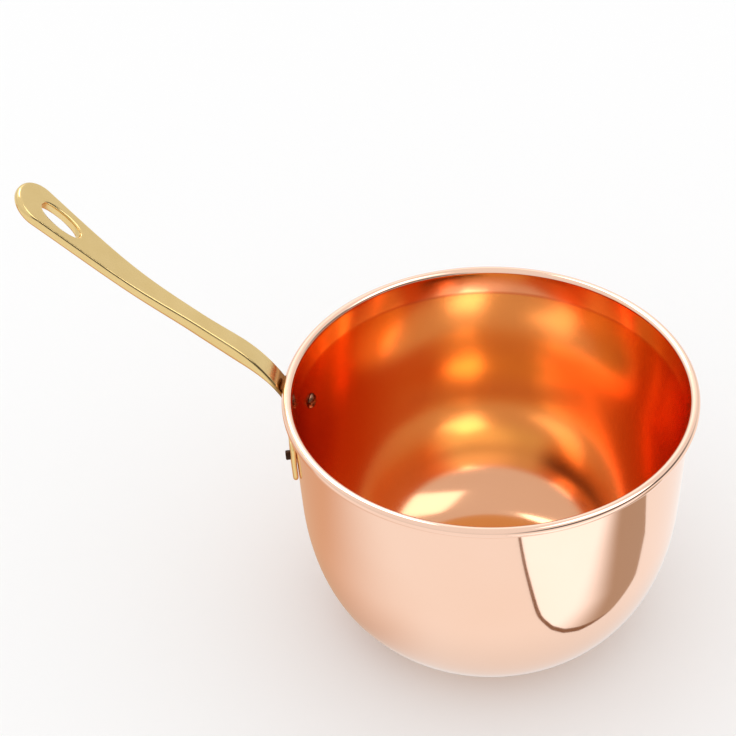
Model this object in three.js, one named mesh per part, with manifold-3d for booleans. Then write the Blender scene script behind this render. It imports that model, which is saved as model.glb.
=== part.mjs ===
// Zabaglione pan: a deep copper bowl with a rolled rim and a cast brass handle held on by two rivets.
// Millimetres, +Z up. The origin is the middle of the flat base, and the handle points along -X.
import * as THREE from "three";
import { ParametricGeometry } from "three/addons/geometries/ParametricGeometry.js";
import { mergeVertices } from "three/addons/utils/BufferGeometryUtils.js";
import Module from "manifold-3d";

const wasm = await Module();
wasm.setup();

const { clamp, degToRad, lerp, smoothstep } = THREE.MathUtils;

// Bowl
const RIM_HEIGHT = 123.5; // base to the middle of the rolled rim
const WALL_RADIUS = 88.4; // outside of the wall, level with the middle of the rim
const WALL_TAPER = degToRad(2.25);
const WALL_STRAIGHT = 54.5; // straight part of the wall below the middle of the rim
const WALL_PULL = 50; // how far the wall's direction carries into the rounded bottom
const FLOOR_PULL = 19; // how far the flat's direction carries into the rounded bottom
const BASE_RADIUS = 42; // flat that the pan stands on
const SHEET = 1.2; // thickness of the copper
const ROLL_RADIUS = 2.3; // outside of the rolled rim
const ROLL_SEAM = 0.3; // slit left between the rolled edge and the wall

// Flange and neck of the handle
const FIT_GAP = 0.3; // clearance between pieces that lie on each other
const FLANGE_THICKNESS = 2.4;
const FLANGE_HALF_WIDTH = 27.5;
const FLANGE_TOP = 14.5; // ears' upper edge below the middle of the rim
const FLANGE_BOTTOM = 36.3;
const FLANGE_CORNER = 4;
const NECK_HALF_WIDTH = 6.2;
const NECK_TOP = 7; // where the neck leaves the wall, below the middle of the rim
const NECK_FILLET = 7;

// Middle line of the arm: reach past the rolled rim and rise above the rim's middle
const ARM_STATIONS = [
  [2.5, -0.5],
  [11.6, 10.4],
  [35.6, 29.7],
  [62.4, 52],
  [104.7, 95.5],
];

// Arm and paddle of the handle, with distances along the middle line from its end
const PADDLE_RADIUS = 11.1;
const PADDLE_THICKNESS = 4.2;
const PADDLE_SWEEP = 1.5; // power of the sweep from the paddle to the waist
const WAIST_HALF_WIDTH = 5;
const WAIST_DISTANCE = 95;
const SWELL_THICKNESS = 5.6; // thickest part, between the waist and the neck
const SWELL_DISTANCE = 114;
const ROOT_THICKNESS = 2; // where the arm runs into the flange
const ROOT_DISTANCE = 143;
const EDGE_POWER = 4.5; // squareness of the rounded section
const END_ROUND = 3; // length over which the paddle's end rounds off
const SLOT_DISTANCE = 22; // middle of the hang slot
const SLOT_LENGTH = 20;
const SLOT_WIDTH = 9.2;
const SLOT_FULLNESS = 0.64; // roundness of the slot's ends

// Rivets
const RIVET_DROP = 26.5; // below the middle of the rim
const RIVET_ANGLE = degToRad(12.3); // each side of the handle
const SHANK_RADIUS = 2.2;
const SHANK_PROUD = 1.9; // plain end standing out of the ear
const SHANK_CHAMFER = 0.5;
const HEAD_RADIUS = 3.8;
const HEAD_HEIGHT = 1.9;

// Facets
const BOWL_SIDES = 72;
const FLANGE_SIDES = 144;
const RIVET_SIDES = 24;
const DOME_STEPS = 6;
const CURVE_STEPS = 8;
const BOTTOM_STEPS = 12;
const ROLL_STEPS = 12;
const SECTION_STEPS = 28;
const TIP_RINGS = 10;
const ARM_RINGS = 40;

const copper = { color: 0xe2a07c, roughness: 0.12, metalness: 1 };
const brass = { color: 0xd9b877, roughness: 0.15, metalness: 1 };
const darkCopper = { color: 0x8a5638, roughness: 0.3, metalness: 1 };

/** Outside radius of the straight wall at a drop below the middle of the rim. */
function wallRadius(drop) {
  return WALL_RADIUS - drop * Math.tan(WALL_TAPER);
}

/** Radius of the middle of the rolled rim, whose inner side carries on from the wall's inside. */
function rollMiddle() {
  return wallRadius(0) - SHEET + ROLL_RADIUS;
}

/** Closed solid of a geometry, for joining and cutting. */
function solid(geometry) {
  geometry.deleteAttribute("normal");
  geometry.deleteAttribute("uv");
  const merged = mergeVertices(geometry, 1e-4);
  const corners = Array.from(merged.index.array);
  const faces = [];
  for (let i = 0; i < corners.length; i += 3) {
    const face = corners.slice(i, i + 3);
    if (new Set(face).size === 3) faces.push(...face);
  }
  const vertProperties = new Float32Array(merged.attributes.position.array);
  return new wasm.Manifold(new wasm.Mesh({ numProp: 3, vertProperties, triVerts: new Uint32Array(faces) }));
}

/** Named mesh of a solid. */
function piece(name, body, look) {
  const { vertProperties, triVerts } = body.getMesh();
  const geometry = new THREE.BufferGeometry();
  geometry.setAttribute("position", new THREE.BufferAttribute(vertProperties, 3));
  geometry.setIndex(new THREE.BufferAttribute(triVerts, 1));
  geometry.computeVertexNormals();
  const mesh = new THREE.Mesh(geometry, new THREE.MeshStandardMaterial(look));
  mesh.name = name;
  return mesh;
}

/** Solid turned about +Z from an outline of [radius, height] points. */
function turned(outline, sides) {
  const points = outline.map(([radius, height]) => new THREE.Vector2(radius, height));
  return new THREE.LatheGeometry(points, sides).rotateX(Math.PI / 2);
}

/** Outline of the copper sheet: up the outside, in and out of the rolled rim, and down the inside. */
function bowlOutline() {
  const shoulder = new THREE.Vector2(wallRadius(WALL_STRAIGHT), RIM_HEIGHT - WALL_STRAIGHT);
  const down = new THREE.Vector2(-Math.sin(WALL_TAPER), -Math.cos(WALL_TAPER));
  const bottom = new THREE.CubicBezierCurve(
    shoulder,
    shoulder.clone().addScaledVector(down, WALL_PULL),
    new THREE.Vector2(BASE_RADIUS + FLOOR_PULL, 0),
    new THREE.Vector2(BASE_RADIUS, 0),
  );
  const outside = [];
  const inside = [];
  for (let i = 0; i <= BOTTOM_STEPS; i++) {
    const point = bottom.getPoint(i / BOTTOM_STEPS);
    const heading = bottom.getTangent(i / BOTTOM_STEPS);
    outside.unshift([point.x, point.y]);
    inside.push([point.x + heading.y * SHEET, point.y - heading.x * SHEET]);
  }
  const rollEnd = -Math.acos((wallRadius(ROLL_RADIUS) + ROLL_SEAM - rollMiddle()) / ROLL_RADIUS);
  const outerRoll = [];
  const innerRoll = [];
  for (let i = 0; i <= ROLL_STEPS; i++) {
    const angle = lerp(Math.PI, rollEnd, i / ROLL_STEPS);
    const [across, up] = [Math.cos(angle), Math.sin(angle)];
    const hollow = ROLL_RADIUS - SHEET;
    innerRoll.push([rollMiddle() + hollow * across, RIM_HEIGHT + hollow * up]);
    outerRoll.unshift([rollMiddle() + ROLL_RADIUS * across, RIM_HEIGHT + ROLL_RADIUS * up]);
  }
  return [[0, 0], ...outside, ...innerRoll, ...outerRoll, ...inside, [0, SHEET]];
}

/** Middle line of the handle, from the flange to its end, in the plane y = 0. */
function handleLine() {
  const onFlange = (drop) => [wallRadius(drop) + FIT_GAP + FLANGE_THICKNESS / 2, -drop];
  const rimReach = rollMiddle() + ROLL_RADIUS;
  const stations = [
    onFlange(RIVET_DROP),
    onFlange(FLANGE_TOP - FLANGE_CORNER),
    ...ARM_STATIONS.map(([reach, rise]) => [rimReach + reach, rise]),
  ];
  const points = stations.map(([reach, rise]) => new THREE.Vector3(-reach, 0, RIM_HEIGHT + rise));
  return new THREE.CatmullRomCurve3(points.reverse());
}

/** Half the arm's width: a round end, a sweep to the waist and a flare to the neck. */
function armHalfWidth(distance) {
  const rise = PADDLE_RADIUS - WAIST_HALF_WIDTH;
  const turn = Math.atan((PADDLE_SWEEP * rise) / (WAIST_DISTANCE - PADDLE_RADIUS));
  const arcEnd = PADDLE_RADIUS * (1 + Math.sin(turn));
  if (distance < arcEnd) return Math.sqrt(PADDLE_RADIUS ** 2 - (distance - PADDLE_RADIUS) ** 2);
  const left = clamp((WAIST_DISTANCE - distance) / (WAIST_DISTANCE - arcEnd), 0, 1);
  const sweep = (PADDLE_RADIUS * Math.cos(turn) - WAIST_HALF_WIDTH) * left ** PADDLE_SWEEP;
  const flare = (NECK_HALF_WIDTH - WAIST_HALF_WIDTH) * smoothstep(distance, WAIST_DISTANCE, ROOT_DISTANCE);
  return WAIST_HALF_WIDTH + sweep + flare;
}

/** Half the arm's thickness: even along the paddle, a swell past the waist, thin at the root. */
function armHalfThickness(distance) {
  const swelling = smoothstep(distance, WAIST_DISTANCE / 2, SWELL_DISTANCE);
  const thinning = smoothstep(distance, SWELL_DISTANCE, ROOT_DISTANCE);
  const arm = lerp(PADDLE_THICKNESS, SWELL_THICKNESS, swelling);
  const fromEnd = 1 - Math.min(1, distance / END_ROUND);
  const rounding = (1 - fromEnd ** EDGE_POWER) ** (1 / EDGE_POWER);
  return (lerp(arm, ROOT_THICKNESS, thinning) / 2) * rounding;
}

/** Arm: rounded sections carried along the middle line, closed to a point at each end. */
function arm(line) {
  const length = line.getLength();
  const rings = TIP_RINGS + ARM_RINGS + 1;
  const squared = (value) => Math.sign(value) * Math.abs(value) ** (2 / EDGE_POWER);
  const section = (around, along, target) => {
    const ring = Math.round(along * rings);
    const turn = (Math.min(ring, TIP_RINGS) / TIP_RINGS) * (Math.PI / 2);
    const run = clamp((ring - TIP_RINGS) / ARM_RINGS, 0, 1) * (length - PADDLE_RADIUS);
    const distance = PADDLE_RADIUS * (1 - Math.cos(turn)) + run;
    const size = ring === rings ? 0 : 1;
    const angle = around * 2 * Math.PI;
    const heading = line.getTangentAt(distance / length);
    const upward = new THREE.Vector3(-heading.z, 0, heading.x);
    target.copy(line.getPointAt(distance / length));
    target.y += size * armHalfWidth(distance) * squared(Math.cos(angle));
    target.addScaledVector(upward, size * armHalfThickness(distance) * squared(Math.sin(angle)));
  };
  return solid(new ParametricGeometry(section, SECTION_STEPS, rings));
}

/** Flange: a plate that follows the wall, cut to a T with rounded ears and a filleted neck. */
function flange() {
  const corners = [FLANGE_BOTTOM + FLANGE_CORNER, NECK_TOP].map((drop) => {
    const inside = wallRadius(drop) + FIT_GAP;
    return { inside, outside: inside + FLANGE_THICKNESS, height: RIM_HEIGHT - drop };
  });
  const [low, high] = corners;
  const plate = turned(
    [
      [low.inside, low.height],
      [low.outside, low.height],
      [high.outside, high.height],
      [high.inside, high.height],
      [low.inside, low.height],
    ],
    FLANGE_SIDES,
  );
  const earMiddle = FLANGE_HALF_WIDTH - FLANGE_CORNER;
  const side = new THREE.Path();
  side.absarc(earMiddle, FLANGE_CORNER - FLANGE_BOTTOM, FLANGE_CORNER, -Math.PI / 2, 0);
  side.absarc(earMiddle, -FLANGE_TOP - FLANGE_CORNER, FLANGE_CORNER, 0, Math.PI / 2);
  const filletMiddle = NECK_HALF_WIDTH + NECK_FILLET;
  side.absarc(filletMiddle, NECK_FILLET - FLANGE_TOP, NECK_FILLET, -Math.PI / 2, -Math.PI, true);
  side.lineTo(NECK_HALF_WIDTH, 0);
  const right = side.getPoints(CURVE_STEPS);
  const left = right.map((point) => new THREE.Vector2(-point.x, point.y)).reverse();
  const depth = 2 * WALL_RADIUS;
  const outline = new THREE.Shape([...right, ...left]);
  const prism = new THREE.ExtrudeGeometry(outline, { depth, bevelEnabled: false });
  const [x, y, z] = [new THREE.Vector3(1, 0, 0), new THREE.Vector3(0, 1, 0), new THREE.Vector3(0, 0, 1)];
  prism.applyMatrix4(new THREE.Matrix4().makeBasis(y, z, x)).translate(-depth, 0, RIM_HEIGHT);
  return solid(plate).intersect(solid(prism));
}

/** Hang slot: a full oval cut square through the paddle. */
function slot(line) {
  const [a, b] = [SLOT_LENGTH / 2, SLOT_WIDTH / 2];
  const [pullA, pullB] = [a * SLOT_FULLNESS, b * SLOT_FULLNESS];
  const oval = new THREE.Shape();
  oval.moveTo(a, 0);
  oval.bezierCurveTo(a, pullB, pullA, b, 0, b);
  oval.bezierCurveTo(-pullA, b, -a, pullB, -a, 0);
  oval.bezierCurveTo(-a, -pullB, -pullA, -b, 0, -b);
  oval.bezierCurveTo(pullA, -b, a, -pullB, a, 0);
  const depth = 4 * PADDLE_THICKNESS;
  const fraction = SLOT_DISTANCE / line.getLength();
  const heading = line.getTangentAt(fraction);
  const across = new THREE.Vector3(0, 1, 0);
  const through = heading.clone().cross(across);
  const cut = { depth, bevelEnabled: false, curveSegments: CURVE_STEPS };
  const geometry = new THREE.ExtrudeGeometry(oval, cut);
  geometry.translate(0, 0, -depth / 2);
  geometry.applyMatrix4(new THREE.Matrix4().makeBasis(heading, across, through));
  const middle = line.getPointAt(fraction);
  return solid(geometry.translate(middle.x, middle.y, middle.z));
}

/** Place on the wall's outside for a rivet, with its +Z straight out of the wall. */
function rivetPlace(side) {
  const angle = Math.PI + side * RIVET_ANGLE;
  const outward = new THREE.Vector3(Math.cos(angle), Math.sin(angle), -Math.tan(WALL_TAPER)).normalize();
  const radius = wallRadius(RIVET_DROP);
  const [x, y] = [radius * Math.cos(angle), radius * Math.sin(angle)];
  const position = new THREE.Vector3(x, y, RIM_HEIGHT - RIVET_DROP);
  const turn = new THREE.Quaternion().setFromUnitVectors(new THREE.Vector3(0, 0, 1), outward);
  return new THREE.Matrix4().compose(position, turn, new THREE.Vector3(1, 1, 1));
}

/** Rivet: a domed head inside the bowl and a plain chamfered end outside the ear. */
function rivet() {
  const hollow = HEAD_RADIUS ** 2 / (2 * (wallRadius(RIVET_DROP) - SHEET));
  const seat = -SHEET - hollow - FIT_GAP;
  const end = FIT_GAP + FLANGE_THICKNESS + SHANK_PROUD;
  const domeRadius = (HEAD_RADIUS ** 2 + HEAD_HEIGHT ** 2) / (2 * HEAD_HEIGHT);
  const domeAngle = Math.asin(HEAD_RADIUS / domeRadius);
  const outline = [];
  for (let i = 0; i <= DOME_STEPS; i++) {
    const angle = (domeAngle * i) / DOME_STEPS;
    outline.push([domeRadius * Math.sin(angle), seat - HEAD_HEIGHT + domeRadius * (1 - Math.cos(angle))]);
  }
  outline.push([SHANK_RADIUS, seat], [SHANK_RADIUS, end - SHANK_CHAMFER]);
  outline.push([SHANK_RADIUS - SHANK_CHAMFER, end], [0, end]);
  return solid(turned(outline, RIVET_SIDES));
}

/** Hole for a rivet through the wall and the flange. */
function rivetHole() {
  const radius = SHANK_RADIUS + FIT_GAP;
  const length = 4 * (SHEET + FLANGE_THICKNESS);
  return solid(new THREE.CylinderGeometry(radius, radius, length, RIVET_SIDES).rotateX(Math.PI / 2));
}

const line = handleLine();
let bowl = solid(turned(bowlOutline(), BOWL_SIDES));
let handle = flange().add(arm(line)).subtract(slot(line));
const rivets = [];
for (const [name, side] of [["rivet_near", 1], ["rivet_far", -1]]) {
  const place = rivetPlace(side);
  const hole = rivetHole().transform(place.elements);
  bowl = bowl.subtract(hole);
  handle = handle.subtract(hole);
  const mesh = piece(name, rivet(), darkCopper);
  mesh.applyMatrix4(place);
  rivets.push(mesh);
}

const pan = new THREE.Group();
pan.add(piece("bowl", bowl, copper), piece("handle", handle, brass), ...rivets);

export default pan;
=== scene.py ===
"""Zabaglione pan: a mirror-polished copper bowl and a polished brass handle held on by two rivets.

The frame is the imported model's: metres, +Z up, the origin in the middle of the base, the handle along -X.
Sizes and places are in millimetres, as in the part's source, and become metres where Blender takes them.
"""
import math

import bpy
import numpy as np
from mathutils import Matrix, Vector


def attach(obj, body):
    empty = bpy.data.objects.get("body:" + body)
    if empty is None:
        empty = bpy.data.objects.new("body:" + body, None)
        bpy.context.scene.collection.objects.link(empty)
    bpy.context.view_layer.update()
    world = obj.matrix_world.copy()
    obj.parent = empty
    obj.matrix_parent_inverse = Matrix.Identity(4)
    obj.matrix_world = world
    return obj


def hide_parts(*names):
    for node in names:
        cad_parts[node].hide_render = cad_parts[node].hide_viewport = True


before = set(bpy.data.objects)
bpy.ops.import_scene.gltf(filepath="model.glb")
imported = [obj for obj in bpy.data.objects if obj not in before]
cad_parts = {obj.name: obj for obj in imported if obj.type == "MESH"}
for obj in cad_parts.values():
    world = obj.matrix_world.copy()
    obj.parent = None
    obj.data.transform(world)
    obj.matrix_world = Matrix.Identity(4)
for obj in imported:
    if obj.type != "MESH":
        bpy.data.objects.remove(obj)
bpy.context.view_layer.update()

# Bowl
RIM_HEIGHT = 123.5
WALL_RADIUS = 88.4
WALL_TAPER = math.radians(2.25)
WALL_STRAIGHT = 54.5
WALL_PULL = 50
FLOOR_PULL = 19
BASE_RADIUS = 42
SHEET = 1.2
ROLL_RADIUS = 2.3
ROLL_SEAM = 0.3
BOWL_SIDES = 240
FLAT_POINTS = 12
CURVE_POINTS = 72
WALL_POINTS = 24
ROLL_POINTS = 40
CREST_TO_INSIDE = 16  # points of the outline from the top of the roll to the start of the inside's tint
FLOOR_TO_WALL = 15, 45  # heights between which the floor's tint turns into the wall's
FLOOR_SHARE = 0.5  # the floor's place on the scale from the outside's tint, 0, to the inside wall's, 1

# Flange and neck of the handle
FIT_GAP = 0.3
FLANGE_THICKNESS = 2.4
FLANGE_HALF_WIDTH = 27.5
FLANGE_TOP = 14.5
FLANGE_BOTTOM = 36.3
FLANGE_CORNER = 4
NECK_HALF_WIDTH = 6.2
NECK_FILLET = 7
THICKENING_DROP = 8  # where the neck starts to take the flange's thickness
HUG_DROPS = 4, FLANGE_TOP - 2  # between these the handle comes to bend round the wall
CORNER_POINTS = 14
EDGE_POINTS = 8
BASE_POINTS = 17
OUTLINE_SHARES = 0, 0.16, 0.4, 0.65, 1  # shares of the flange's outline, and the drops the grid joins them to
MIDDLE_DROPS = FLANGE_TOP - NECK_FILLET, 18, 23, 27, FLANGE_BOTTOM - 5

# Arm and paddle of the handle
ARM_STATIONS = [(2.5, -0.5), (11.6, 10.4), (35.6, 29.7), (62.4, 52), (104.7, 95.5)]
PADDLE_RADIUS = 11.1
PADDLE_THICKNESS = 4.2
PADDLE_SWEEP = 1.5
WAIST_HALF_WIDTH = 5
WAIST_DISTANCE = 95
SWELL_THICKNESS = 5.6
SWELL_DISTANCE = 114
ROOT_THICKNESS = 2
ROOT_DISTANCE = 143
SLOT_DISTANCE = 22
SLOT_LENGTH = 20
SLOT_WIDTH = 9.2
SLOT_FULLNESS = 0.64
EDGE_ROUND = 1.3
EDGE_POWER = 2.2
SLOT_ROUND = 0.7
LINE_STEPS = 200
SLOT_POINTS = 120
EDGE_ROWS = 11
FACE_ROWS = 9
TIP_COLUMNS = 28
SLOT_COLUMNS = 26
BRIDGE_COLUMNS = 14
ARM_COLUMNS = 92
BRIDGE_START = 36  # distances where the grid's columns leave the slot and draw level with the middle line
BRIDGE_MIDDLE = 38
BRIDGE_END = 42
LEVEL_START = 60
BRIDGE_SHIFTS = 0, 0.5, 2.4  # how far past the slot's end the bridge's columns meet the middle, in SLOT_ROUND
ALONG_STEP = 0.5  # half steps over which the middle surface's slopes are taken
ACROSS_STEP = 0.1
JOIN_DECIMALS = 4

# Rivets
RIVET_DROP = 26.5
RIVET_ANGLE = math.radians(12.3)
SHANK_RADIUS = 2.2
SHANK_PROUD = 1.9
SHANK_ROUND = 0.5
HEAD_RADIUS = 3.8
HEAD_HEIGHT = 1.9
HEAD_LIP = -0.12, 0.1  # from the edge of the dome to the underside of the head
RIVET_SIDES = 64
DOME_POINTS = 24
SHANK_POINTS = 8
FACE_POINTS = 6

# Camera, in the photograph's 736 x 736 frame
VIEW_AZIMUTH = math.radians(4.0)
VIEW_ELEVATION = math.radians(39.62)
VIEW_DISTANCE = 800
SENSOR_WIDTH = 36
FRAME_PIXELS = 736
FOCAL_PIXELS = 1819
AIM = (-4.4, 0, RIM_HEIGHT)
AIM_AT_PIXEL = (481.0, 390.3)


def smoothstep(x, low, high):
    """0 below low, 1 above high, and a smooth S between."""
    t = np.clip((x - low) / (high - low), 0, 1)
    return t * t * (3 - 2 * t)


def bezier(controls, t):
    """Points and unit headings of a cubic Bezier curve with four control points, at parameters t."""
    a, b, c, d = np.asarray(controls, float)
    t = np.asarray(t, float)[:, None]
    points = (1 - t) ** 3 * a + 3 * (1 - t) ** 2 * t * b + 3 * (1 - t) * t**2 * c + t**3 * d
    headings = (1 - t) ** 2 * (b - a) + 2 * (1 - t) * t * (c - b) + t**2 * (d - c)
    return points, headings / np.linalg.norm(headings, axis=1, keepdims=True)


def spline(stations, steps):
    """Centripetal Catmull-Rom curve: each stretch is the cubic between two stations whose end headings come
    from the stations on either side, weighted by the square roots of the distances. The ends are mirrored
    outward."""
    p = np.vstack([2 * stations[0] - stations[1], stations, 2 * stations[-1] - stations[-2]])
    gap = np.linalg.norm(np.diff(p, axis=0), axis=1)[:, None] ** 0.5
    before, here, after = gap[:-2], gap[1:-1], gap[2:]
    a, b, c, d = p[:-3], p[1:-2], p[2:-1], p[3:]
    leave = ((b - a) / before - (c - a) / (before + here) + (c - b) / here) * here
    arrive = ((c - b) / here - (d - b) / (here + after) + (d - c) / after) * here
    t = np.arange(steps)[:, None, None] / steps
    curve = b + t * (leave + t * (3 * (c - b) - 2 * leave - arrive + t * (2 * (b - c) + leave + arrive)))
    return np.vstack([curve.swapaxes(0, 1).reshape(-1, p.shape[1]), stations[-1:]])


def distance_to_path(points, path):
    """Least distance of each point of a grid from a path: the nearest place on each of the path's straight
    steps, and then the least of their distances."""
    start, step = path[:-1], np.diff(path, axis=0)
    never_zero = 1e-12
    size = np.maximum((step**2).sum(axis=1), never_zero)
    from_start = points[:, :, None] - start
    foot = np.clip((from_start * step).sum(axis=-1) / size, 0, 1)
    return np.linalg.norm(from_start - foot[..., None] * step, axis=-1).min(axis=-1)


def quads(index):
    """Faces of a grid of vertex numbers, one for each cell."""
    corners = [index[:-1, :-1], index[:-1, 1:], index[1:, 1:], index[1:, :-1]]
    return np.stack(corners, axis=-1).reshape(-1, 4)


def turned(outline, sides):
    """Surface of revolution: the point (radius, height) of the outline at angle a lies at
    (radius cos a, radius sin a, height). The outline starts and ends on the axis, where the rings close to a
    point."""
    outline = np.asarray(outline, float)
    angle = np.arange(sides) * 2 * math.pi / sides
    radius, height = outline[1:-1, 0, None], outline[1:-1, 1, None]
    rings = np.stack([radius * np.cos(angle), radius * np.sin(angle), height + 0 * angle], axis=-1)
    ends = [[0, 0, outline[0, 1]], [0, 0, outline[-1, 1]]]
    vertices = np.vstack([rings.reshape(-1, 3), ends])
    count = len(outline) - 2
    index = np.arange(count * sides).reshape(count, sides)
    index = np.hstack([index, index[:, :1]])
    first = np.stack([np.full(sides, count * sides), index[0, 1:], index[0, :-1]], axis=-1)
    last = np.stack([np.full(sides, count * sides + 1), index[-1, :-1], index[-1, 1:]], axis=-1)
    return vertices, quads(index).tolist() + first.tolist() + last.tolist()


def mesh_piece(name, vertices, faces, material, node):
    """Smooth mesh object at the origin, from millimetre points and a list of faces, in a CAD node's place."""
    mesh = bpy.data.meshes.new(name)
    mesh.from_pydata((np.asarray(vertices) / 1000).tolist(), [], faces)
    mesh.validate()
    mesh.shade_smooth()
    mesh.materials.append(material)
    made = bpy.data.objects.new(name, mesh)
    bpy.context.scene.collection.objects.link(made)
    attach(made, "root")
    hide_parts(node)
    return made


def wall_radius(drop):
    """Outside radius of the straight wall at a drop below the middle of the rim."""
    return WALL_RADIUS - drop * math.tan(WALL_TAPER)


def bowl_outline():
    """Outline of the sheet as (radius, height): out along the flat, up a cubic curve and the straight wall,
    round the inside and then the outside of the rolled rim, and down again one sheet further in."""
    shoulder = np.array([wall_radius(WALL_STRAIGHT), RIM_HEIGHT - WALL_STRAIGHT])
    down = np.array([-math.sin(WALL_TAPER), -math.cos(WALL_TAPER)])
    controls = [shoulder, shoulder + WALL_PULL * down, (BASE_RADIUS + FLOOR_PULL, 0), (BASE_RADIUS, 0)]
    curve, heading = bezier(controls, np.linspace(0, 1, CURVE_POINTS))
    inner = curve + SHEET * np.stack([heading[:, 1], -heading[:, 0]], axis=-1)
    middle = wall_radius(0) - SHEET + ROLL_RADIUS
    end = -math.acos((wall_radius(ROLL_RADIUS) + ROLL_SEAM - middle) / ROLL_RADIUS)
    turn = np.linspace(math.pi, end, ROLL_POINTS)
    circle = np.stack([np.cos(turn), np.sin(turn)], axis=-1)
    hollow = (middle, RIM_HEIGHT) + (ROLL_RADIUS - SHEET) * circle[::2]
    roll = (middle, RIM_HEIGHT) + ROLL_RADIUS * circle[::-1]
    flat = np.linspace(0, 1, FLAT_POINTS)[:-1, None]
    climb = np.linspace(0, 1, WALL_POINTS)[1:-1, None]
    return np.vstack([
        flat * curve[-1],
        curve[::-1],
        curve[0] + climb * (hollow[0] - curve[0]),
        hollow,
        roll,
        roll[-1] + climb * (inner[0] - roll[-1]),
        inner,
        (0, SHEET) + flat[::-1] * (inner[-1] - (0, SHEET)),
    ])


def inside_share():
    """0 on the bowl's outside and roll, FLOOR_SHARE on the floor inside and 1 on the wall inside, with a
    smooth S between the last two, in the turned mesh's order."""
    outline = bowl_outline()
    start = np.argmax(outline[:, 1]) + CREST_TO_INSIDE
    share = FLOOR_SHARE + (1 - FLOOR_SHARE) * smoothstep(outline[:, 1], *FLOOR_TO_WALL)
    ring = (np.arange(len(outline)) > start) * share
    return np.concatenate([np.repeat(ring[1:-1], BOWL_SIDES), ring[[0, -1]]])


def handle_line():
    """Middle line of the handle as points (x, z), from its end to the bottom of the flange: a spline through
    the arm's stations and the upper flange, then straight. Also each point's distance from the end."""
    on_flange = [(wall_radius(drop) + FIT_GAP + FLANGE_THICKNESS / 2, -drop)
                 for drop in (FLANGE_BOTTOM, RIVET_DROP, FLANGE_TOP - FLANGE_CORNER)]
    rim_reach = wall_radius(0) - SHEET + 2 * ROLL_RADIUS
    on_arm = [(rim_reach + reach, rise) for reach, rise in ARM_STATIONS]
    stations = np.array(on_flange[1:] + on_arm)[::-1]
    line = np.vstack([spline(stations, LINE_STEPS), on_flange[:1]]) * (-1, 1) + (0, RIM_HEIGHT)
    run = np.concatenate([[0], np.cumsum(np.linalg.norm(np.diff(line, axis=0), axis=1))])
    return line, run


HANDLE_LINE, HANDLE_RUN = handle_line()


def at_drop(drop):
    """Distance from the end of the handle at a drop below the middle of the rim."""
    low = HANDLE_LINE[:, 1] < RIM_HEIGHT
    return np.interp(drop, RIM_HEIGHT - HANDLE_LINE[low, 1], HANDLE_RUN[low])


def arm_columns():
    """Distances at which the grid crosses the arm: by equal angles round the tip, evenly beside the slot,
    close together on the bridge behind it and evenly to the neck."""
    tip = PADDLE_RADIUS * (1 - np.cos(np.linspace(0, math.pi / 2, TIP_COLUMNS)))
    beside_slot = np.linspace(PADDLE_RADIUS, BRIDGE_START, SLOT_COLUMNS)[1:]
    bridge = np.linspace(BRIDGE_START, BRIDGE_END, BRIDGE_COLUMNS)[1:]
    to_neck = np.linspace(BRIDGE_END, at_drop(FLANGE_TOP - NECK_FILLET), ARM_COLUMNS)[1:]
    return np.concatenate([tip, beside_slot, bridge, to_neck])


def arm_half_width(distance):
    """Half the arm's width: a round end, a sweep to the waist and a flare to the neck."""
    rise = PADDLE_RADIUS - WAIST_HALF_WIDTH
    turn = math.atan(PADDLE_SWEEP * rise / (WAIST_DISTANCE - PADDLE_RADIUS))
    arc_end = PADDLE_RADIUS * (1 + math.sin(turn))
    left = np.clip((WAIST_DISTANCE - distance) / (WAIST_DISTANCE - arc_end), 0, 1)
    sweep = (PADDLE_RADIUS * math.cos(turn) - WAIST_HALF_WIDTH) * left**PADDLE_SWEEP
    flare = (NECK_HALF_WIDTH - WAIST_HALF_WIDTH) * smoothstep(distance, WAIST_DISTANCE, ROOT_DISTANCE)
    arc = np.sqrt(np.maximum(PADDLE_RADIUS**2 - (distance - PADDLE_RADIUS) ** 2, 0))
    return np.where(distance < arc_end, arc, WAIST_HALF_WIDTH + sweep + flare)


def flange_outline():
    """Half of the flange's outline as (drop, half width): a fillet from the neck, the top edge, a round
    corner, the ear's end, a round corner and the bottom edge to the middle."""
    arc = np.linspace(0, math.pi / 2, CORNER_POINTS)
    ear = FLANGE_HALF_WIDTH - FLANGE_CORNER
    fillet = np.stack([FLANGE_TOP - NECK_FILLET + NECK_FILLET * np.sin(arc),
                       NECK_HALF_WIDTH + NECK_FILLET * (1 - np.cos(arc))], axis=-1)
    upper = np.stack([FLANGE_TOP + FLANGE_CORNER * (1 - np.cos(arc)),
                      ear + FLANGE_CORNER * np.sin(arc)], axis=-1)
    lower = np.stack([FLANGE_BOTTOM - FLANGE_CORNER * (1 - np.sin(arc)),
                      ear + FLANGE_CORNER * np.cos(arc)], axis=-1)
    across = np.linspace(ear, 0, BASE_POINTS)[1:]
    base = np.stack([np.full(len(across), FLANGE_BOTTOM), across], axis=-1)
    side = np.linspace(upper[-1], lower[0], EDGE_POINTS)[1:-1]
    top = np.linspace(fillet[-1], upper[0], EDGE_POINTS)[1:-1]
    return np.vstack([fillet[1:], top, upper, side, lower, base])


def slot_outline():
    """Half of the hang slot's oval as (distance, half width): a cubic curve and its mirror image."""
    a, b = SLOT_LENGTH / 2, SLOT_WIDTH / 2
    pull_a, pull_b = a * SLOT_FULLNESS, b * SLOT_FULLNESS
    controls = [(-a, 0), (-a, pull_b), (-pull_a, b), (0, b)]
    quarter, _ = bezier(controls, np.linspace(0, 1, SLOT_POINTS))
    return np.vstack([quarter, quarter[-2::-1] * (-1, 1)]) + (SLOT_DISTANCE, 0)


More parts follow.
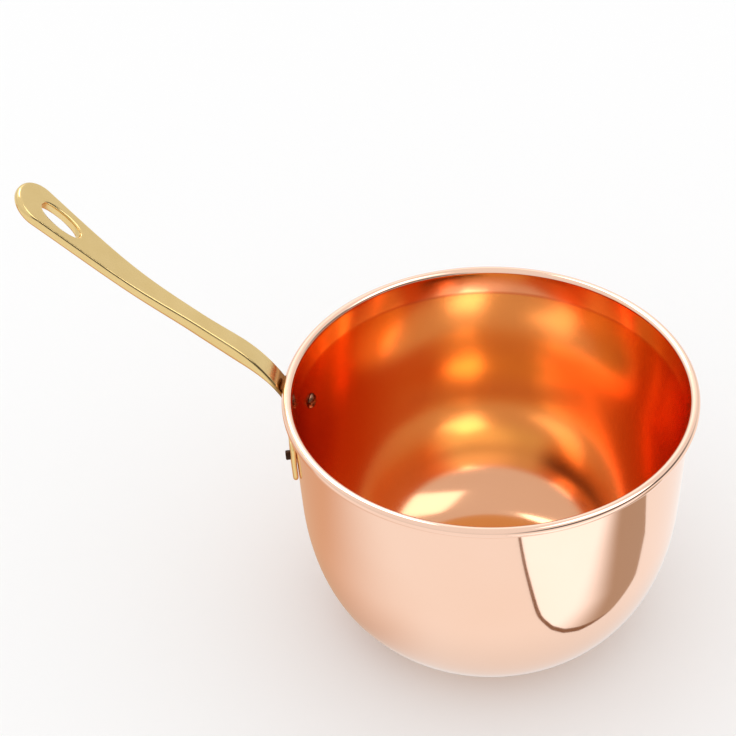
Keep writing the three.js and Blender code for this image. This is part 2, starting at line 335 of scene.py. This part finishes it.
def outer_rim(flange):
    """The handle's outline as (distance, half width), and its unit headings inward, square to it."""
    along = arm_columns()
    rim = np.vstack([np.stack([along, arm_half_width(along)], axis=-1),
                     np.stack([at_drop(flange[:, 0]), flange[:, 1]], axis=-1)])
    heading = np.gradient(rim, axis=0)
    heading[0], heading[-1] = (0, 1), (0, -1)
    inward = np.stack([heading[:, 1], -heading[:, 0]], axis=-1)
    return rim, inward / np.linalg.norm(inward, axis=1, keepdims=True)


def inner_rim(flange):
    """Where the grid ends inside the outline, a point for each of the outline's: half of the slot, then the
    middle line. Also the number of points on the slot."""
    along = arm_columns()
    oval = slot_outline()
    beside_slot = along <= BRIDGE_START
    path = np.linspace(0, 1, beside_slot.sum())
    places = np.linspace(0, 1, len(oval))
    slot = np.stack([np.interp(path, places, oval[:, axis]) for axis in (0, 1)], axis=-1)
    slot_end = SLOT_DISTANCE + SLOT_LENGTH / 2
    level = [LEVEL_START, HANDLE_RUN[-1]]
    bridge = [slot_end + shift * SLOT_ROUND for shift in BRIDGE_SHIFTS]
    on_arm = np.interp(along[~beside_slot], [BRIDGE_START, BRIDGE_MIDDLE, BRIDGE_END] + level, bridge + level)
    walk = np.linspace(0, 1, len(flange) + 1)[1:]
    on_flange = at_drop(np.interp(walk, OUTLINE_SHARES, MIDDLE_DROPS))
    middle = np.concatenate([on_arm, on_flange])
    return np.vstack([slot, np.stack([middle, 0 * middle], axis=-1)]), len(slot)


def handle_grid():
    """Grid of (distance, across) on half of the handle's middle surface, from its outline in to the slot and
    the middle line, and how far each point is through the rounding of its nearest edge, from 0 to 1."""
    flange = flange_outline()
    outer, inward = outer_rim(flange)
    inner, slot_count = inner_rim(flange)
    step_in = 1 - np.cos(np.linspace(0, math.pi / 2, EDGE_ROWS)) ** (2 / EDGE_POWER)
    shelf = outer + EDGE_ROUND * inward
    gap = np.linalg.norm(inner - shelf, axis=1)[:, None]
    face = np.linspace(0, 1, FACE_ROWS)[1:-1] * (gap - SLOT_ROUND) / gap
    share = np.hstack([face, 1 - SLOT_ROUND * step_in[::-1] / gap])
    grid = np.concatenate([outer[:, None] + EDGE_ROUND * step_in[:, None] * inward[:, None],
                           shelf[:, None] + share[:, :, None] * (inner - shelf)[:, None]], axis=1)
    oval = slot_outline()
    to_slot = distance_to_path(grid, np.vstack([oval, oval[::-1] * (1, -1)]))
    to_slot[:slot_count, -1] = 0
    edge = np.minimum(to_slot / SLOT_ROUND, 1)
    edge[:, :EDGE_ROWS] = np.minimum(edge[:, :EDGE_ROWS], step_in)
    return grid[..., 0], grid[..., 1], edge


def handle_thickness(distance):
    """Thickness that swells from the paddle's, thins to the root's and ends at the flange's, smoothly."""
    swell = smoothstep(distance, WAIST_DISTANCE / 2, SWELL_DISTANCE)
    arm = PADDLE_THICKNESS + (SWELL_THICKNESS - PADDLE_THICKNESS) * swell
    neck = arm + (ROOT_THICKNESS - arm) * smoothstep(distance, SWELL_DISTANCE, ROOT_DISTANCE)
    flange = smoothstep(distance, at_drop(THICKENING_DROP), at_drop(FLANGE_TOP))
    return neck + (FLANGE_THICKNESS - neck) * flange


def middle_surface(distance, across):
    """The handle's middle line carried straight across on the arm and round the wall on the flange."""
    x = np.interp(distance, HANDLE_RUN, HANDLE_LINE[:, 0])
    z = np.interp(distance, HANDLE_RUN, HANDLE_LINE[:, 1])
    start, end = HUG_DROPS
    hug = smoothstep(distance, at_drop(start), at_drop(end))
    return np.stack([x + hug * (-x - np.sqrt(x**2 - across**2)), across, z], axis=-1)


def handle_surface():
    """The handle as one closed skin. At a share t through the rounding of an edge it stands
    h (1 - (1 - t)^p)^(1/p) above and below the middle surface, along its normal, where h is half the
    thickness there. The other half is its mirror image, and points that meet are joined."""
    s, y, edge = handle_grid()
    stand = handle_thickness(s) / 2 * (1 - (1 - edge) ** EDGE_POWER) ** (1 / EDGE_POWER)
    along = middle_surface(s + ALONG_STEP, y) - middle_surface(s - ALONG_STEP, y)
    across = middle_surface(s, y + ACROSS_STEP) - middle_surface(s, y - ACROSS_STEP)
    normal = np.cross(along, across)
    normal /= np.linalg.norm(normal, axis=-1, keepdims=True)
    place, lift = middle_surface(s, y), stand[..., None] * normal
    sheets = np.vstack([sheet.reshape(-1, 3) * (1, mirror, 1)
                        for mirror in (1, -1) for sheet in (place + lift, place - lift)])
    count = s.size
    cells = quads(np.arange(count).reshape(s.shape))
    faces = np.vstack([cells, cells[:, ::-1] + count, cells[:, ::-1] + 2 * count, cells + 3 * count])
    near = np.round(sheets, JOIN_DECIMALS)
    _, first, number = np.unique(near, axis=0, return_index=True, return_inverse=True)
    return sheets[first], number.reshape(-1)[faces].tolist()


def rivet_outline():
    """Outline of a rivet along its own axis: a dome, the head's underside, the shank and its round edge."""
    hollow = HEAD_RADIUS**2 / (2 * (wall_radius(RIVET_DROP) - SHEET))
    seat = -SHEET - hollow - FIT_GAP
    end = FIT_GAP + FLANGE_THICKNESS + SHANK_PROUD
    dome_radius = (HEAD_RADIUS**2 + HEAD_HEIGHT**2) / (2 * HEAD_HEIGHT)
    turn = np.linspace(0, math.asin(HEAD_RADIUS / dome_radius), DOME_POINTS)
    dome = np.stack([dome_radius * np.sin(turn),
                     seat - HEAD_HEIGHT + dome_radius * (1 - np.cos(turn))], axis=-1)
    arc = np.linspace(0, math.pi / 2, SHANK_POINTS)
    round_edge = np.stack([SHANK_RADIUS - SHANK_ROUND * (1 - np.cos(arc)),
                           end - SHANK_ROUND * (1 - np.sin(arc))], axis=-1)
    shank = np.linspace((SHANK_RADIUS, seat), round_edge[0], SHANK_POINTS)[:-1]
    face = np.linspace(round_edge[-1], (0, end), FACE_POINTS)[1:]
    return np.vstack([dome, dome[-1] + HEAD_LIP, shank, round_edge, face])


def rivet_surface(side):
    """A turned rivet set square to the wall, on one side of the handle."""
    vertices, faces = turned(rivet_outline(), RIVET_SIDES)
    angle = math.pi + side * RIVET_ANGLE
    outward = np.array([math.cos(angle), math.sin(angle), -math.tan(WALL_TAPER)])
    outward /= np.linalg.norm(outward)
    across = np.array([-math.sin(angle), math.cos(angle), 0])
    axes = np.stack([across, np.cross(outward, across), outward])
    radius = wall_radius(RIVET_DROP)
    place = (radius * math.cos(angle), radius * math.sin(angle), RIM_HEIGHT - RIVET_DROP)
    return vertices @ axes + place, faces


def linear(code):
    """Linear RGBA of an sRGB hex colour."""
    part = np.array([int(code[i:i + 2], 16) / 255 for i in (1, 3, 5)])
    return (*np.where(part <= 0.04045, part / 12.92, ((part + 0.055) / 1.055) ** 2.4).tolist(), 1)


# Copper sheet of the bowl
# The outside tint is the copper's own; the floor and wall tints inside are painted reflection
COPPER_AND_PAINTED_REFLECTION_TINTS = (0, linear("#FCD7C1")), (FLOOR_SHARE, linear("#E6AC86")), (1, linear("#F5CC8C"))
# Painted reflection: a redder tint on the inside wall toward the handle's side and opposite
PAINTED_SIDE_REFLECTION_TINT = linear("#E68546")
CLOUD_TINT = linear("#FCF6F0")
SIDE_REFLECTION_FROM = 45
SIDE_REFLECTION_TO = 75
RING_PITCH = 0.6  # real lathe rings are finer than a pixel, so these are drawn coarse enough to show
RING_DEPTH = 0.0005
WAVE_SIZE = 35
WAVE_DEPTH = 0.1
CLOUD_SIZE = 50
MIRROR_ROUGHNESS = 0.05
WORN_ROUGHNESS = 0.12
RING_ROUGHNESS = 0.04

# Brass of the handle
BRASS_TINTS = (0.3, linear("#E6C888")), (0.65, linear("#EBCE90"))
# Painted shade: brown in the crook where the handle meets the bead
CROOK_SHADE_TINT = linear("#76501C")
CROOK_SHADE_SHARE = 0.85
CROOK_SHADE_RADII = 98, 93.5  # distances from the bowl's axis where the crook's painted shade starts and is full
CROOK_SHADE_HEIGHTS = 112, 119
TARNISH_SIZE = 12
HAZE_SIZE = 1.2  # real polishing marks are finer than a pixel, so these are drawn coarse enough to show
HAZE_ROUGHNESS = 0.1, 0.2
CASTING_SIZE = 8
CASTING_DEPTH = 0.1

# Copper of the rivets
RIVET_TINTS = (0.35, linear("#5E3A2A")), (0.65, linear("#C08A70"))
# Painted shade: the rivet's outer end, outside the wall, is painted nearly black
RIVET_END_SHADE_TINT = linear("#3A261B")
RIVET_END_SHADE_RADII = 88, 90
DENT_SIZE = 1.6
DENT_DEPTH = 0.2
DENT_ROUGHNESS = 0.34, 0.16

# Settings that many nodes share
SMOOTH = {"interpolation_type": "SMOOTHSTEP"}
COLOUR = {"data_type": "RGBA"}


def add(tree, kind, inputs=None, stops=(), **settings):
    """A node of any kind, with its settings, its ramp's stops if it has a ramp, and each input linked to a
    socket or set to a value."""
    made = tree.nodes.new(kind)
    for name, value in settings.items():
        setattr(made, name, value)
    for key, value in (inputs or {}).items():
        if isinstance(value, bpy.types.NodeSocket):
            tree.links.new(value, made.inputs[key])
        else:
            made.inputs[key].default_value = value
    for position, _ in stops[1:-1]:
        made.color_ramp.elements.new(position)
    for number, (position, colour) in enumerate(stops):
        made.color_ramp.elements[number].position = position
        made.color_ramp.elements[number].color = colour
    return made


def new_material(name):
    """A material, its node tree, its Principled shader and the object's own coordinates in metres."""
    made = bpy.data.materials.new(name)
    made.use_nodes = True
    tree = made.node_tree
    return made, tree, tree.nodes["Principled BSDF"], add(tree, "ShaderNodeTexCoord").outputs["Object"]


def from_axis(tree, place):
    """A place's x and z, and its distance from the bowl's axis."""
    x, y, z = add(tree, "ShaderNodeSeparateXYZ", {0: place}).outputs
    flat = add(tree, "ShaderNodeCombineXYZ", {0: x, 1: y}).outputs[0]
    radius = add(tree, "ShaderNodeVectorMath", {0: flat}, operation="LENGTH").outputs["Value"]
    return x, z, radius


def make_metal(tree, shader, tint, roughness, relief):
    """Give a metal's shader its tint, its roughness and its relief."""
    tree.links.new(tint, shader.inputs["Base Color"])
    tree.links.new(roughness, shader.inputs["Roughness"])
    tree.links.new(relief, shader.inputs["Normal"])
    shader.inputs["Metallic"].default_value = 1


def spun_copper():
    """Copper sheet, spun on a lathe and polished to a mirror. The eye sees clear reflections that bend a
    little where polishing left the sheet uneven, and softer ones inside, where it is worn. Fine rings stir
    the gloss. The tint is rosy outside; the browner floor and golden wall inside are painted reflection,
    with a redder painted reflection on the wall at the handle's side and opposite, under faint clouds."""
    made, tree, shader, place = new_material("Copper sheet, spun and mirror polished")
    x, z, radius = from_axis(tree, place)
    profile = add(tree, "ShaderNodeCombineXYZ", {0: radius, 2: z}).outputs[0]
    rings = add(tree, "ShaderNodeTexNoise", {"Vector": profile, "Scale": 1000 / RING_PITCH, "Detail": 3.0})
    waves = add(tree, "ShaderNodeTexNoise", {"Vector": place, "Scale": 1000 / WAVE_SIZE, "Detail": 1.0})
    clouds = add(tree, "ShaderNodeTexNoise", {"Vector": place, "Scale": 1000 / CLOUD_SIZE, "Detail": 4.0})
    inside = add(tree, "ShaderNodeAttribute", attribute_name="inside").outputs["Fac"]
    tints_with_painted_reflection = add(tree, "ShaderNodeValToRGB", {0: inside}, COPPER_AND_PAINTED_REFLECTION_TINTS).outputs[0]
    aside = add(tree, "ShaderNodeMath", {0: x}, operation="ABSOLUTE").outputs[0]
    # Painted reflection, redder on the inside wall further from the middle across x
    painted_side_reflection = add(tree, "ShaderNodeMapRange",
                 {0: aside, 1: SIDE_REFLECTION_FROM / 1000, 2: SIDE_REFLECTION_TO / 1000, 4: inside}, **SMOOTH).outputs[0]
    with_side_reflection = add(tree, "ShaderNodeMix", {0: painted_side_reflection, 6: tints_with_painted_reflection, 7: PAINTED_SIDE_REFLECTION_TINT}, **COLOUR).outputs[2]
    tint = add(tree, "ShaderNodeMix", {0: clouds.outputs["Fac"], 6: with_side_reflection, 7: CLOUD_TINT},
               blend_type="MULTIPLY", **COLOUR).outputs[2]
    wear = add(tree, "ShaderNodeMapRange",
               {0: inside, 2: FLOOR_SHARE, 3: MIRROR_ROUGHNESS, 4: WORN_ROUGHNESS}).outputs[0]
    roughness = add(tree, "ShaderNodeMath", {0: rings.outputs["Fac"], 1: RING_ROUGHNESS, 2: wear},
                    operation="MULTIPLY_ADD").outputs[0]
    uneven = add(tree, "ShaderNodeBump",
                 {"Height": waves.outputs["Fac"], "Strength": 1.0, "Distance": WAVE_DEPTH / 1000}).outputs[0]
    relief = add(tree, "ShaderNodeBump", {"Height": rings.outputs["Fac"], "Strength": 1.0,
                                          "Distance": RING_DEPTH / 1000, "Normal": uneven}).outputs[0]
    make_metal(tree, shader, tint, roughness, relief)
    return made


def cast_brass():
    """Cast brass, ground and polished. The eye sees a warm pale gold, soft unevenness from the casting, a
    fine polishing haze, faint browner clouds, and painted brown shade in the crook under the bead."""
    made, tree, shader, place = new_material("Brass casting, ground and polished")
    _, z, radius = from_axis(tree, place)
    clouds = add(tree, "ShaderNodeTexNoise", {"Vector": place, "Scale": 1000 / TARNISH_SIZE, "Detail": 5.0})
    gold = add(tree, "ShaderNodeValToRGB", {0: clouds.outputs["Fac"]}, BRASS_TINTS).outputs[0]
    start, full = CROOK_SHADE_RADII
    close = add(tree, "ShaderNodeMapRange",
                {0: radius, 1: start / 1000, 2: full / 1000, 4: CROOK_SHADE_SHARE}, **SMOOTH).outputs[0]
    start, full = CROOK_SHADE_HEIGHTS
    # Painted shade in the crook, full close to the bowl and high under the bead
    crook = add(tree, "ShaderNodeMapRange",
                {0: z, 1: start / 1000, 2: full / 1000, 4: close}, **SMOOTH).outputs[0]
    tint = add(tree, "ShaderNodeMix", {0: crook, 6: gold, 7: CROOK_SHADE_TINT}, **COLOUR).outputs[2]
    haze = add(tree, "ShaderNodeTexNoise", {"Vector": place, "Scale": 1000 / HAZE_SIZE, "Detail": 4.0})
    clear, dull = HAZE_ROUGHNESS
    roughness = add(tree, "ShaderNodeMapRange", {0: haze.outputs["Fac"], 3: clear, 4: dull}).outputs[0]
    casting = add(tree, "ShaderNodeTexNoise", {"Vector": place, "Scale": 1000 / CASTING_SIZE, "Detail": 2.0})
    relief = add(tree, "ShaderNodeBump", {"Height": casting.outputs["Fac"], "Strength": 1.0,
                                          "Distance": CASTING_DEPTH / 1000}).outputs[0]
    make_metal(tree, shader, tint, roughness, relief)
    return made


def rivet_copper():
    """Copper rivet, hammered tight and tarnished. The eye sees shallow hammer dents with brown tarnish in
    their hollows, and an outer end painted nearly black with shade."""
    made, tree, shader, place = new_material("Copper rivet, hammered, tarnished, end painted with shade")
    _, _, radius = from_axis(tree, place)
    dents = add(tree, "ShaderNodeTexNoise", {"Vector": place, "Scale": 1000 / DENT_SIZE, "Detail": 3.0})
    tarnish = add(tree, "ShaderNodeValToRGB", {0: dents.outputs["Fac"]}, RIVET_TINTS).outputs[0]
    start, full = RIVET_END_SHADE_RADII
    painted_end_shade = add(tree, "ShaderNodeMapRange", {0: radius, 1: start / 1000, 2: full / 1000}).outputs[0]
    tint = add(tree, "ShaderNodeMix", {0: painted_end_shade, 6: tarnish, 7: RIVET_END_SHADE_TINT}, **COLOUR).outputs[2]
    hollow, crest = DENT_ROUGHNESS
    roughness = add(tree, "ShaderNodeMapRange", {0: dents.outputs["Fac"], 3: hollow, 4: crest}).outputs[0]
    relief = add(tree, "ShaderNodeBump", {"Height": dents.outputs["Fac"], "Strength": 1.0,
                                          "Distance": DENT_DEPTH / 1000}).outputs[0]
    make_metal(tree, shader, tint, roughness, relief)
    return made


copper, brass, dark_copper = spun_copper(), cast_brass(), rivet_copper()
bowl = mesh_piece("copper_bowl", *turned(bowl_outline(), BOWL_SIDES), copper, "bowl")
inside = bowl.data.attributes.new("inside", "FLOAT", "POINT")
inside.data.foreach_set("value", inside_share().astype(np.float32))
mesh_piece("brass_handle", *handle_surface(), brass, "handle")
mesh_piece("near_rivet", *rivet_surface(1), dark_copper, "rivet_near")
mesh_piece("far_rivet", *rivet_surface(-1), dark_copper, "rivet_far")

# Paper floor
FLOOR_REACH = 4000
PAPER_TINT = linear("#F4F4F4")
PAPER_ROUGHNESS = 0.9
# Painted reflection: the glow that the metal sees is warmer at the left
PAINTED_WARM_REFLECTION_TINT = linear("#DFB798")
WARM_REFLECTION_SIDES = (0, -20, -70), (1, -140, 0), (1, 250, 100)  # axis, where the painted warm reflection starts and where it is full
UNDER_PAN = 60, 130  # distances between which the painted shadow under the pan turns into the open level
PAINTED_SHADOW_LEVEL = 0.84
OPEN_LEVEL = 1.0

# White walls of the studio
PAPER_LIGHT = 1.1  # lights matt things, and the levels after it are the ones that the metal mirrors
LOW_LEVEL = 0.85
HIGH_LEVEL = 0.92
BACK_LEFT_LEVEL = 1.5
TO_BACK_LEFT = -0.5, 0.85, 0
BACK_LEFT_FADE = 0.35, 0.85
HIGH_FADE = 0.28, 0.5
TO_RIGHT = 0.9, -0.3, 0
RIGHT_FADE = 0.4, 0.75
RIGHT_SHADE = (0.04, 1), (0.16, 0.1), (0.38, 0.1), (0.56, 1)  # height of the direction, share of light left

# Lamps and cards
LAMP_HEIGHT = 1400
CARD_LIFT = 1
CARD_EDGE = [(53, -300), (62, -105), (66, -92), (74, -80), (93, -57)]
CARD_FAR_SIDE = [(150, -18), (400, -10), (400, -300)]
SHADED_SIDE = [(x - 4, y + 3) for x, y in CARD_EDGE[-2::-1]]
CARD_FADES = (0, 20), (-108, -64)  # along x and y

# Light paths, long because the bowl's inside mirrors itself many times
MAX_BOUNCES = 16
MIRROR_BOUNCES = 14

scene = bpy.context.scene


def stage_sheet(name, corners, height, material):
    """Flat sheet of the stage, from its corners (x, y) and its height."""
    mesh = bpy.data.meshes.new(name)
    points = [(x / 1000, y / 1000, height / 1000) for x, y in corners]
    mesh.from_pydata(points, [], [tuple(range(len(points)))])
    mesh.materials.append(material)
    made = bpy.data.objects.new(name, mesh)
    scene.collection.objects.link(made)
    return made


def white_paper():
    """White paper, matt. The metal sees it as a glow of even white, with painted shadow a little darker under
    the pan and a painted warm reflection at the left."""
    made, tree, shader, place = new_material("White paper floor")
    shader.inputs["Base Color"].default_value = PAPER_TINT
    shader.inputs["Roughness"].default_value = PAPER_ROUGHNESS
    shader.inputs["Specular IOR Level"].default_value = 0
    out = add(tree, "ShaderNodeVectorMath", {0: place}, operation="LENGTH").outputs["Value"]
    # Painted shadow: the glow that the metal sees is darker close to the pan
    start, full = UNDER_PAN
    even = add(tree, "ShaderNodeMapRange", {0: out, 1: start / 1000, 2: full / 1000,
                                            3: PAINTED_SHADOW_LEVEL, 4: OPEN_LEVEL}, **SMOOTH).outputs[0]
    parts = add(tree, "ShaderNodeSeparateXYZ", {0: place}).outputs
    # Painted warm reflection, fading in toward the left
    warmth = 1.0
    for axis, start, full in WARM_REFLECTION_SIDES:
        warmth = add(tree, "ShaderNodeMapRange",
                     {0: parts[axis], 1: start / 1000, 2: full / 1000, 4: warmth}, **SMOOTH).outputs[0]
    tint = add(tree, "ShaderNodeMix", {0: warmth, 6: (1, 1, 1, 1), 7: PAINTED_WARM_REFLECTION_TINT}, **COLOUR).outputs[2]
    glow = add(tree, "ShaderNodeEmission", {0: tint, 1: even}).outputs[0]
    mirrored = add(tree, "ShaderNodeLightPath").outputs["Is Glossy Ray"]
    seen = add(tree, "ShaderNodeMixShader", {0: mirrored, 1: shader.outputs[0], 2: glow}).outputs[0]
    tree.links.new(seen, tree.nodes["Material Output"].inputs["Surface"])
    return made


def white_walls():
    """World of white walls that light the paper evenly. The metal mirrors them a little brighter high up and
    brightest at the back left, with a band of shade at the right."""
    made = bpy.data.worlds.new("studio")
    made.use_nodes = True
    tree = made.node_tree
    way = add(tree, "ShaderNodeTexCoord").outputs["Generated"]
    rise = add(tree, "ShaderNodeSeparateXYZ", {0: way}).outputs[2]
    slant = add(tree, "ShaderNodeVectorMath", {0: way, 1: TO_BACK_LEFT}, operation="DOT_PRODUCT")
    start, full = BACK_LEFT_FADE
    upper = add(tree, "ShaderNodeMapRange", {0: slant.outputs["Value"], 1: start, 2: full,
                                             3: HIGH_LEVEL, 4: BACK_LEFT_LEVEL}, **SMOOTH).outputs[0]
    start, full = HIGH_FADE
    high = add(tree, "ShaderNodeMapRange", {0: rise, 1: start, 2: full}, **SMOOTH).outputs[0]
    walls = add(tree, "ShaderNodeMix", {0: high, 2: LOW_LEVEL, 3: upper}).outputs[0]
    greys = [(height, (share, share, share, 1)) for height, share in RIGHT_SHADE]
    band = add(tree, "ShaderNodeValToRGB", {0: rise}, greys)
    band.color_ramp.interpolation = "EASE"
    aside = add(tree, "ShaderNodeVectorMath", {0: way, 1: TO_RIGHT}, operation="DOT_PRODUCT")
    start, full = RIGHT_FADE
    shade = add(tree, "ShaderNodeMapRange", {0: aside.outputs["Value"], 1: start, 2: full,
                                             3: 1.0, 4: band.outputs[0]}, **SMOOTH).outputs[0]
    shaded = add(tree, "ShaderNodeMath", {0: walls, 1: shade}, operation="MULTIPLY").outputs[0]
    mirrored = add(tree, "ShaderNodeLightPath").outputs["Is Glossy Ray"]
    level = add(tree, "ShaderNodeMix", {0: mirrored, 2: PAPER_LIGHT, 3: shaded}).outputs[0]
    tree.links.new(level, tree.nodes["Background"].inputs["Strength"])
    tree.nodes["Background"].inputs["Color"].default_value = (1, 1, 1, 1)
    return made


def softbox(name, left, right, front, back, watts):
    """Flat rectangular soft light overhead, facing straight down, between four sides. The paper gets its even
    light from the white walls, so only the metal sees the lamp."""
    data = bpy.data.lights.new(name, "AREA")
    data.shape = "RECTANGLE"
    data.size = (right - left) / 1000
    data.size_y = (back - front) / 1000
    data.energy = watts
    made = bpy.data.objects.new(name, data)
    made.location = (left + right) / 2 / 1000, (front + back) / 2 / 1000, LAMP_HEIGHT / 1000
    made.visible_diffuse = False
    scene.collection.objects.link(made)


def card(name, corners, tint, faded_tint, strength):
    """Flat glowing card on the floor that only the metal sees. Its tint fades to another where x and y are
    both past their ranges; on the white card that faded tint is painted shadow of the pan."""
    look, tree, shader, place = new_material(name)
    parts = add(tree, "ShaderNodeSeparateXYZ", {0: place}).outputs
    past_x, past_y = [
        add(tree, "ShaderNodeMapRange", {0: part, 1: start / 1000, 2: full / 1000}, **SMOOTH).outputs[0]
        for part, (start, full) in zip(parts, CARD_FADES)
    ]
    fade = add(tree, "ShaderNodeMath", {0: past_x, 1: past_y}, operation="MULTIPLY").outputs[0]
    glow = add(tree, "ShaderNodeMix", {0: fade, 6: linear(tint), 7: linear(faded_tint)}, **COLOUR).outputs[2]
    tree.links.new(glow, shader.inputs["Emission Color"])
    shader.inputs["Emission Strength"].default_value = strength
    shader.inputs["Base Color"].default_value = (0, 0, 0, 1)
    shader.inputs["Specular IOR Level"].default_value = 0
    made = stage_sheet(name, corners, CARD_LIFT, look)
    made.visible_camera = made.visible_diffuse = made.visible_shadow = False


def photograph_camera():
    """Camera on the photograph's line of sight, shifted so that the aim falls on its pixel."""
    back = Vector((math.sin(VIEW_AZIMUTH) * math.cos(VIEW_ELEVATION),
                   -math.cos(VIEW_AZIMUTH) * math.cos(VIEW_ELEVATION), math.sin(VIEW_ELEVATION)))
    lens = bpy.data.cameras.new("camera")
    lens.sensor_width = SENSOR_WIDTH
    lens.lens = FOCAL_PIXELS * SENSOR_WIDTH / FRAME_PIXELS
    lens.shift_x = (FRAME_PIXELS / 2 - AIM_AT_PIXEL[0]) / FRAME_PIXELS
    lens.shift_y = (AIM_AT_PIXEL[1] - FRAME_PIXELS / 2) / FRAME_PIXELS
    made = bpy.data.objects.new("camera", lens)
    made.location = Vector((0, 0, RIM_HEIGHT / 1000)) + back * VIEW_DISTANCE / 1000
    made.rotation_euler = (Vector(AIM) / 1000 - made.location).to_track_quat("-Z", "Y").to_euler()
    scene.collection.objects.link(made)
    return made


floor_corners = [(x * FLOOR_REACH, y * FLOOR_REACH) for x, y in ((-1, -1), (1, -1), (1, 1), (-1, 1))]
stage_sheet("floor", floor_corners, 0, white_paper())
scene.world = white_walls()
softbox("back left", left=-1020, right=-220, front=300, back=1400, watts=9.6)
softbox("right", left=400, right=2200, front=-580, back=180, watts=7.5)
# Painted reflection: the white card glows only in the metal, fading to painted shadow near the pan
card("White card", CARD_EDGE + CARD_FAR_SIDE, "#F6FAFF", "#9C8A79", strength=1.45)
# Painted shade: a dark glowing strip along the white card's edge
card("Shaded edge", CARD_EDGE + SHADED_SIDE, "#8A6A54", "#8A6A54", strength=1.0)
scene.camera = photograph_camera()
scene.view_settings.view_transform = "Standard"
scene.cycles.max_bounces = MAX_BOUNCES
scene.cycles.glossy_bounces = MIRROR_BOUNCES
